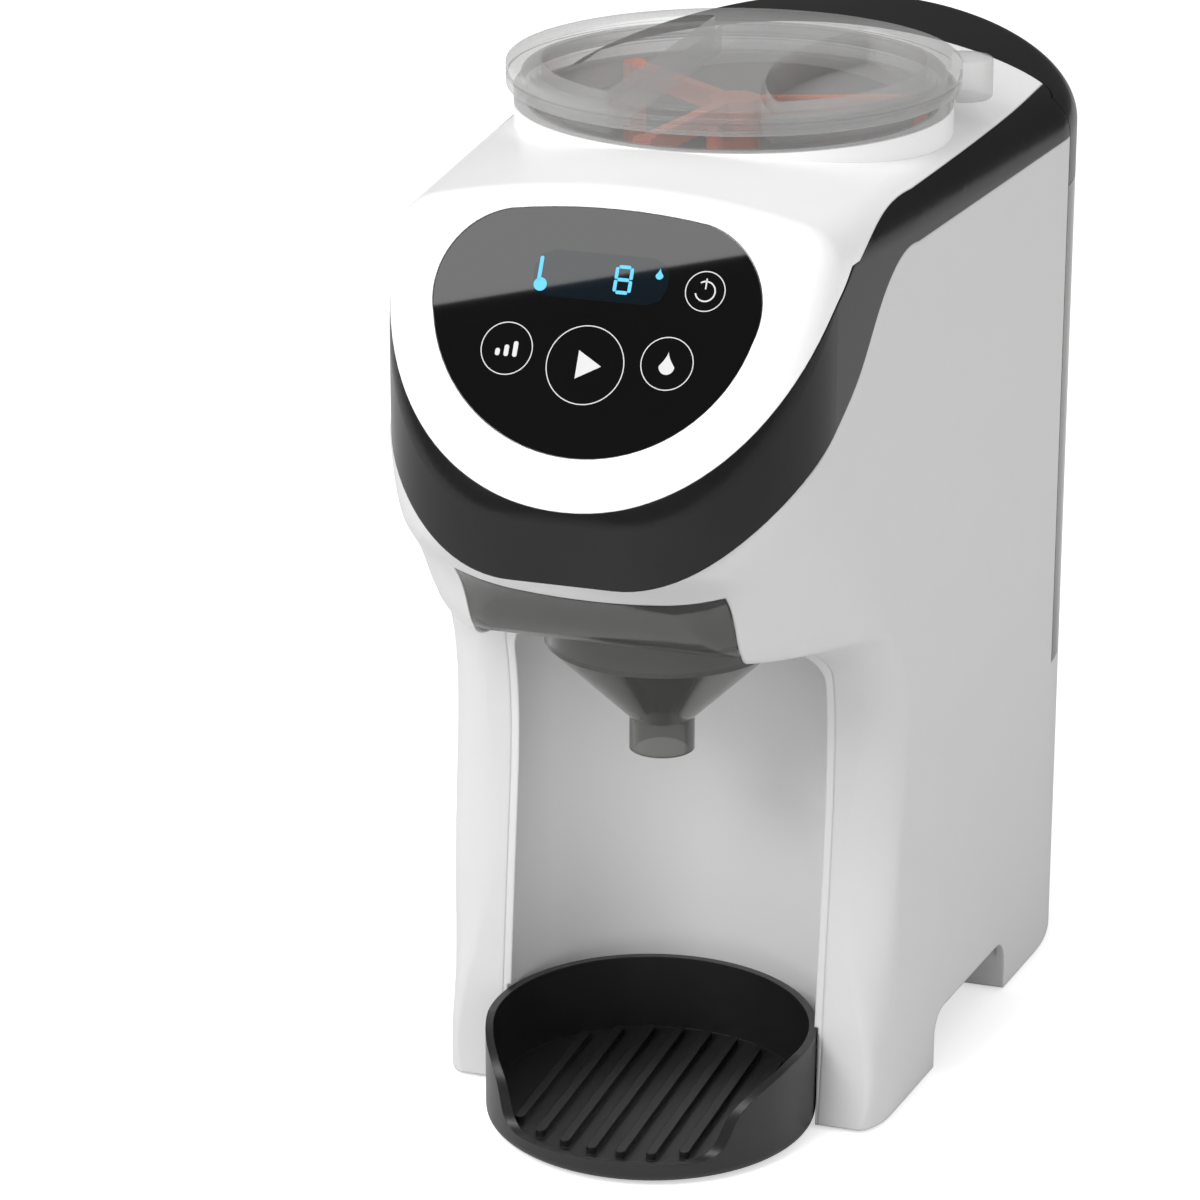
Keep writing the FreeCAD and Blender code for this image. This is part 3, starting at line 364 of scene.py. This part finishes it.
def drum(name, radius, low, high, x=0.0, y=0.0, sides=96):
    """A round plate or drum standing on Z, in millimetres."""
    clear_selection()
    bpy.ops.mesh.primitive_cylinder_add(vertices=sides, radius=radius * MM, depth=(high - low) * MM,
                                        location=(x * MM, y * MM, (low + high) / 2 * MM))
    return named(name)


def slab(name, x0, x1, y0, y1, z0, z1):
    """A box between two corners, in millimetres."""
    clear_selection()
    middle = ((x0 + x1) / 2 * MM, (y0 + y1) / 2 * MM, (z0 + z1) / 2 * MM)
    bpy.ops.mesh.primitive_cube_add(size=1, location=middle)
    item = named(name)
    item.scale = ((x1 - x0) * MM, (y1 - y0) * MM, (z1 - z0) * MM)
    return apply_all(item)


def smooth(item, angle=30):
    """Shades a piece smooth up to an angle."""
    pick(item)
    bpy.ops.object.shade_smooth_by_angle(angle=math.radians(angle))
    return item


def place(item, body, finish, slot, *replaced):
    """Gives a finished piece its body and material; the slot argument is not used."""
    if not item.data.polygons:
        raise RuntimeError(item.name + " has no faces")
    item.data.materials.clear()
    item.data.materials.append(finish_of(finish))
    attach(item, body)
    if replaced:
        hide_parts(*replaced)
    return item


# Pieces on the panel


def on_face(across, up, lift=0.0):
    """Place and turn of a point on the sloping face, sizes in metres."""
    turn = Matrix.Rotation(math.pi / 2 - FACE_TILT, 4, "X")
    origin = Vector(FACE_FOOT) * MM
    slope = Vector((0, math.sin(FACE_TILT), math.cos(FACE_TILT)))
    outward = Vector((0, -math.cos(FACE_TILT), math.sin(FACE_TILT)))
    return Matrix.Translation(origin + Vector((across, 0, 0)) + slope * up + outward * lift) @ turn


def lay(item, across, up, lift=0.00012):
    """Lays a flat mark on the sloping face."""
    item.matrix_world = on_face(across, up, lift) @ item.matrix_world
    return apply_all(item)


def thickened(item):
    """Gives a flat mark that is being edited its thickness, and ends the editing."""
    bpy.ops.mesh.extrude_region_move(TRANSFORM_OT_translate={"value": (0, 0, PRINT_RISE)})
    bpy.ops.mesh.select_all(action="SELECT")
    bpy.ops.mesh.normals_make_consistent(inside=False)
    bpy.ops.object.mode_set(mode="OBJECT")
    return item


def printed_ring(name, radius, width, start=0.0, sweep=360.0):
    """A thin printed ring or arc, spun from a short bar."""
    clear_selection()
    bpy.ops.mesh.primitive_plane_add(size=1, location=(0, 0, 0))
    item = named(name)
    item.scale = (width, 0.00001, 1)
    item.location = (radius, 0, 0)
    apply_all(item)
    bpy.ops.object.mode_set(mode="EDIT")
    bpy.ops.mesh.select_all(action="SELECT")
    bpy.ops.mesh.delete(type="ONLY_FACE")
    bpy.ops.object.mode_set(mode="OBJECT")
    corners = sorted(item.data.vertices, key=lambda v: (v.co.y, v.co.x))
    for vertex in item.data.vertices:
        vertex.select = vertex.index in (corners[2].index, corners[3].index)
    bpy.ops.object.mode_set(mode="EDIT")
    bpy.ops.mesh.delete(type="VERT")
    bpy.ops.mesh.select_all(action="SELECT")
    bpy.ops.transform.rotate(value=-math.radians(start), orient_axis="Z", center_override=(0, 0, 0))
    bpy.ops.mesh.spin(steps=max(8, int(sweep / 3)), angle=math.radians(sweep), center=(0, 0, 0), axis=(0, 0, 1))
    bpy.ops.mesh.select_all(action="SELECT")
    bpy.ops.mesh.remove_doubles(threshold=WELD)
    return thickened(item)


def printed_shape(name, sides, radius, stretch=(1, 1), turn=0.0, pointed=0.0):
    """A small printed blot: a round, triangle or drop, thick enough to see."""
    clear_selection()
    bpy.ops.mesh.primitive_circle_add(vertices=sides, radius=radius, fill_type="NGON", rotation=(0, 0, turn))
    item = named(name)
    item.scale = (stretch[0], stretch[1], 1)
    apply_all(item)
    if pointed:
        for vertex in item.data.vertices:
            if vertex.co.y > 0:
                rise = vertex.co.y / radius
                vertex.co.x *= 1 - rise ** 1.2 * 0.98
                vertex.co.y *= 1 + pointed * rise
    bpy.ops.object.mode_set(mode="EDIT")
    bpy.ops.mesh.select_all(action="SELECT")
    return thickened(item)


def bar(name, width, height, x, y, turn=0.0):
    """A small printed bar with clipped corners."""
    clear_selection()
    bpy.ops.mesh.primitive_plane_add(size=1)
    item = named(name)
    item.scale = (width, height, 1)
    item.rotation_euler[2] = turn
    item.location = (x, y, 0)
    apply_all(item)
    bpy.ops.object.mode_set(mode="EDIT")
    bpy.ops.mesh.select_all(action="SELECT")
    bpy.ops.mesh.bevel(offset=min(width, height) * 0.4, segments=2, affect="VERTICES")
    return thickened(item)


def joined(name, items):
    """Joins marks into one piece."""
    clear_selection()
    for item in items:
        item.select_set(True)
    bpy.context.view_layer.objects.active = items[0]
    bpy.ops.object.join()
    return named(name)


class MAKER_OT_casing(Operator):
    """Gives the carried-over solids their moulded finishes"""
    bl_idname = "maker.casing"
    bl_label = "Casing and inside finishes"

    FINISHES = {
        "casing": ("body_shell",),
        "bay": ("bay_liner",),
        "cover": ("top_cover",),
        "trim": ("black_trim", "tank_lid"),
        "panel": ("panel_glass",),
        "display": ("display_module",),
        "board": ("control_board", "power_board"),
        "clear": ("powder_container",),
        "stirrer": ("stirrer",),
        "nylon": ("drive_gear",),
        "steel": ("motor_pinion", "gear_motor", "heater", "valve_spring", "base_screws", "deck_screws"),
        "inner": ("drive_deck", "powder_chute", "funnel_rails", "tank_port", "base_plate", "pump", "hose_clip"),
        "smoke": ("water_tank",),
        "funnel": ("funnel",),
        "tray": ("drip_tray",),
        "rubber": ("foot_front_right", "foot_front_left", "foot_rear_right", "foot_rear_left", "cord_gland",
                   "tank_valve"),
        "hose": ("inlet_hose", "link_hose", "spout_hose"),
    }

    def execute(self, context):
        for finish, names in self.FINISHES.items():
            for name in names:
                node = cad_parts[name]
                node.data.materials.clear()
                node.data.materials.append(finish_of(finish))
        return {"FINISHED"}


class MAKER_OT_lid(Operator):
    """Models the clear container lid with its two finger pockets"""
    bl_idname = "maker.lid"
    bl_label = "Container lid"

    def pocket(self, name, side, grow, low, high, size):
        """A plug for one finger pocket: the left one cut straight, the right one bowed."""
        item = drum(name, size.pocket_radius / MM + grow, low, high, 0, 0, size.sides)
        apply_all(item)
        if side < 0:
            edge = -size.grip_left / MM + grow
            item = boolean(item, slab("left_cut", edge, 100, -100, 100, low - 1, high + 1), "DIFFERENCE")
        else:
            bow = size.grip_bow / MM
            centre = size.grip_right / MM + bow
            cut = drum("right_cut", bow + grow, low - 1, high + 1, centre, 0, 2 * size.sides)
            item = boolean(item, cut, "INTERSECT")
        return apply_all(bevel(item, 3.0 + grow * 0.6, 4, 50))

    def execute(self, context):
        size = context.scene.maker_lid
        top, base, wall = size.top / MM, size.ring_low / MM, size.wall / MM
        radius, groove_size = size.radius / MM, size.groove / MM
        lid = drum("container_lid_clear", radius, base, top, 0, 0, size.sides)
        apply_all(lid)
        skirt_room = drum("skirt_room", size.skirt_radius / MM, base - 5, top - size.roof / MM, 0, 0, size.sides)
        lid = boolean(lid, skirt_room, "DIFFERENCE")
        bevel(lid, 1.0, 3, 50)
        apply_all(lid)
        groove_top = top - 3.5
        groove = drum("ring_groove", radius + 3, groove_top - groove_size, groove_top, 0, 0, size.sides)
        core = drum("groove_core", radius - groove_size, top - 8, top, 0, 0, size.sides)
        groove = boolean(groove, core, "DIFFERENCE")
        lid = boolean(lid, groove, "DIFFERENCE")
        depth = size.pocket_depth / MM
        for side in (1, -1):
            outer = self.pocket("pocket_outer", side, wall, top - depth - wall, top - 1.5, size)
            inner = self.pocket("pocket_inner", side, 0.0, top - depth, top + 6, size)
            lid = boolean(lid, outer, "UNION")
            lid = boolean(lid, inner, "DIFFERENCE")
        lid.location.y = HOPPER_Y * MM
        apply_all(lid)
        lug = self.make_lug(size)
        lid = boolean(lid, lug, "UNION")
        smooth(lid, 28)
        place(lid, "hopper_lid", "clear", "clear", "container_lid")
        return {"FINISHED"}

    def make_lug(self, size):
        """The locking lug at the rear right of the ring."""
        reach, top = size.lug_reach / MM, size.lug_top / MM
        x, y = reach * math.cos(size.lug_turn), HOPPER_Y + reach * math.sin(size.lug_turn)
        lug = drum("lug", size.lug_radius / MM, size.lug_low / MM, top, x, y, 48)
        bevel(lug, 1.2, 3, 50)
        apply_all(lug)
        room = drum("lug_room", 66.2, 290, top - 1.5, 0, HOPPER_Y, size.sides)
        return boolean(lug, room, "DIFFERENCE")


class MAKER_OT_panel_print(Operator):
    """Prints the touch rings with plain symbols on the panel"""
    bl_idname = "maker.panel_print"
    bl_label = "Panel rings and symbols"

    def execute(self, context):
        size = context.scene.maker_panel
        width = size.ring_width
        marks = [
            lay(printed_ring("start_ring", size.start_radius, width), 0, size.start_height),
            lay(printed_ring("left_ring", size.side_radius, width), -size.side_offset, size.side_height),
            lay(printed_ring("right_ring", size.side_radius, width), size.side_offset, size.side_height),
            lay(printed_ring("power_ring", size.power_radius, width), size.power_offset, size.power_height),
            lay(printed_shape("start_mark", 3, size.start_radius * 0.42, turn=-math.pi / 2), 0, size.start_height),
            lay(printed_shape("drop_mark", 48, size.side_radius * 0.3, pointed=0.9), size.side_offset,
                size.side_height - size.side_radius * 0.12),
            lay(printed_ring("power_arc", size.power_radius * 0.5, width * 1.5, 125, 290), size.power_offset,
                size.power_height),
            lay(bar("power_bar", width * 1.5, size.power_radius * 0.55, 0, size.power_radius * 0.38),
                size.power_offset, size.power_height),
        ]
        for step in (-1, 0, 1):
            rise = size.side_radius * (0.28 + 0.16 * (step + 1))
            mark = bar("level_bar", size.side_radius * 0.18, rise, step * size.side_radius * 0.34,
                       rise / 2 - size.side_radius * 0.3)
            marks.append(lay(mark, -size.side_offset, size.side_height))
        prints = joined("panel_symbols", marks)
        place(prints, "casing", "print", "panel")
        return {"FINISHED"}


class MAKER_OT_display(Operator):
    """Lights the display with a digit, a thermometer and a drop"""
    bl_idname = "maker.display"
    bl_label = "Display"

    def execute(self, context):
        size = context.scene.maker_panel
        window = bar("display_window", size.display_width, size.display_height, 0, 0)
        lay(window, 0.0004, size.display_up, 0.00003)
        place(window, "casing", "display", "display")
        high = size.digit_height
        wide = high * 0.52
        stroke = high * 0.12
        across, up = size.digit_place, size.display_up - 0.0002
        marks = []
        for y in (-0.5, 0, 0.5):
            marks.append(lay(bar("segment", wide * 0.8, stroke, 0, y * (high - stroke)), across, up, 0.0002))
        for x in (-0.5, 0.5):
            for y in (-0.25, 0.25):
                marks.append(lay(bar("segment", stroke, (high - stroke) * 0.46, x * wide, y * (high - stroke)),
                                 across, up, 0.0002))
        left = size.stem_place
        marks.append(lay(printed_shape("bulb", 32, 0.0019), left + 0.0006, up - 0.0033, 0.0002))
        marks.append(lay(bar("stem", 0.0011, 0.0072, 0, 0), left, up + 0.0011, 0.0002))
        marks.append(lay(printed_shape("drop", 32, 0.0011, pointed=0.9), size.drop_place, up + 0.0021, 0.0002))
        place(joined("display_marks", marks), "casing", "light", "display")
        return {"FINISHED"}


class MAKER_OT_stage(Operator):
    """Sets the floor, lamps and camera"""
    bl_idname = "maker.stage"
    bl_label = "Stage"

    def lamp(self, name, place_at, aim, size, power):
        data = bpy.data.lights.new(name, "AREA")
        data.shape = "RECTANGLE"
        data.size, data.size_y = size
        data.energy = power
        item = bpy.data.objects.new(name, data)
        bpy.context.scene.collection.objects.link(item)
        item.location = place_at
        item.rotation_euler = (Vector(aim) - Vector(place_at)).to_track_quat("-Z", "Y").to_euler()
        item.visible_glossy = False

    def world(self, strength, mirrored):
        world = bpy.data.worlds.new("studio")
        bpy.context.scene.world = world
        world.use_nodes = True
        tree = world.node_tree
        nodes, links = tree.nodes, tree.links
        sky = nodes["Background"]
        sky.inputs["Color"].default_value = (1, 1, 1, 1)
        sky.inputs["Strength"].default_value = strength
        seen = nodes.new("ShaderNodeBackground")
        seen.inputs["Color"].default_value = (1, 1, 1, 1)
        seen.inputs["Strength"].default_value = 1.0
        path = nodes.new("ShaderNodeLightPath")
        either = nodes.new("ShaderNodeMath")
        either.operation = "MAXIMUM"
        links.new(path.outputs["Is Camera Ray"], either.inputs[0])
        links.new(path.outputs["Is Transmission Ray"], either.inputs[1])
        mix = nodes.new("ShaderNodeMixShader")
        links.new(either.outputs[0], mix.inputs[0])
        links.new(sky.outputs[0], mix.inputs[1])
        links.new(seen.outputs[0], mix.inputs[2])
        dim = nodes.new("ShaderNodeBackground")
        dim.inputs["Color"].default_value = (1, 1, 1, 1)
        dim.inputs["Strength"].default_value = mirrored
        mirror = nodes.new("ShaderNodeMixShader")
        links.new(path.outputs["Is Glossy Ray"], mirror.inputs[0])
        links.new(mix.outputs[0], mirror.inputs[1])
        links.new(dim.outputs[0], mirror.inputs[2])
        links.new(mirror.outputs[0], nodes["World Output"].inputs["Surface"])

    def floor(self, glow):
        clear_selection()
        bpy.ops.mesh.primitive_plane_add(size=12, location=(0, 0, -0.0004))
        floor = named("floor")
        material = add_grain(new_material("floor_paper", (0.86, 0.86, 0.86, 1), 0.9), 60, 0.02, mottle=0.004)
        tree = material.node_tree
        nodes, links = tree.nodes, tree.links
        path = nodes.new("ShaderNodeLightPath")
        white = nodes.new("ShaderNodeEmission")
        white.inputs["Color"].default_value = (1, 1, 1, 1)
        white.inputs["Strength"].default_value = glow
        both = nodes.new("ShaderNodeAddShader")
        links.new(nodes["Principled BSDF"].outputs[0], both.inputs[0])
        links.new(white.outputs[0], both.inputs[1])
        either = nodes.new("ShaderNodeMath")
        either.operation = "MAXIMUM"
        links.new(path.outputs["Is Camera Ray"], either.inputs[0])
        links.new(path.outputs["Is Transmission Ray"], either.inputs[1])
        mix = nodes.new("ShaderNodeMixShader")
        links.new(either.outputs[0], mix.inputs[0])
        links.new(nodes["Principled BSDF"].outputs[0], mix.inputs[1])
        links.new(both.outputs[0], mix.inputs[2])
        links.new(mix.outputs[0], nodes["Material Output"].inputs["Surface"])
        floor.data.materials.append(material)

    def card(self, strength):
        """The pale card that the sloping panel mirrors in its upper part."""
        clear_selection()
        bpy.ops.mesh.primitive_plane_add(size=1)
        card = named("mirror_card")
        low_left, low_right = Vector((-0.354, -0.761, 0.836)), Vector((-0.203, -0.753, 0.882))
        along = (low_right - low_left).normalized()
        outward = Vector((0.32, 0.69, -0.65)).normalized()
        rise = outward.cross(along).normalized()
        if rise.z < 0:
            rise = -rise
        corners = [low_left - along * 0.6, low_right + along * 0.6]
        corners += [corners[0] + rise * 0.6, corners[1] + rise * 0.6]
        for vertex, corner in zip(card.data.vertices, corners):
            vertex.co = corner
        material = glowing(new_material("card_light", (0, 0, 0, 1), 1.0), (1, 1, 1, 1), strength)
        card.data.materials.append(material)
        card.visible_camera = False
        card.visible_diffuse = False
        card.visible_transmission = False
        card.visible_shadow = False

    def execute(self, context):
        size = context.scene.maker_stage
        camera = bpy.data.cameras.new("camera")
        camera.lens = size.lens
        camera.sensor_width = 36
        camera.clip_end = 50
        item = bpy.data.objects.new("camera", camera)
        context.scene.collection.objects.link(item)
        item.location = (size.camera_x, size.camera_y, size.camera_z)
        item.rotation_euler = (math.pi / 2 - size.pitch, 0, size.azimuth)
        context.scene.camera = item
        self.floor(size.floor_glow)
        self.card(size.card)
        self.world(size.sky, size.mirrored_sky)
        self.lamp("key", (-0.7, -1.4, 1.5), (0, -0.05, 0.2), (1.0, 1.0), size.key)
        self.lamp("fill", (1.6, -0.2, 0.9), (0, 0, 0.15), (0.8, 1.2), size.fill)
        context.scene.view_settings.view_transform = "Standard"
        return {"FINISHED"}


class MAKER_PT_side(Panel):
    """Lists the pieces in the sidebar"""
    bl_label = "Formula Maker"
    bl_space_type = "VIEW_3D"
    bl_region_type = "UI"
    bl_category = "Formula Maker"

    def draw(self, context):
        for operator in OPERATORS:
            self.layout.operator(operator.bl_idname)


OPERATORS = (MAKER_OT_casing, MAKER_OT_lid, MAKER_OT_display, MAKER_OT_panel_print, MAKER_OT_stage)
GROUPS = {"maker_colours": FinishColours, "maker_panel": PanelSizes, "maker_lid": LidSizes,
          "maker_stage": StageSizes}


def register():
    for group in (*GROUPS.values(), *OPERATORS, MAKER_PT_side):
        bpy.utils.register_class(group)
    for name, group in GROUPS.items():
        setattr(bpy.types.Scene, name, PointerProperty(type=group))


def unregister():
    for name in GROUPS:
        delattr(bpy.types.Scene, name)
    for group in (MAKER_PT_side, *reversed(OPERATORS), *GROUPS.values()):
        bpy.utils.unregister_class(group)


def main():
    register()
    for operator in OPERATORS:
        family, name = operator.bl_idname.split(".")
        getattr(getattr(bpy.ops, family), name)()


if __name__ == "__main__":
    main()
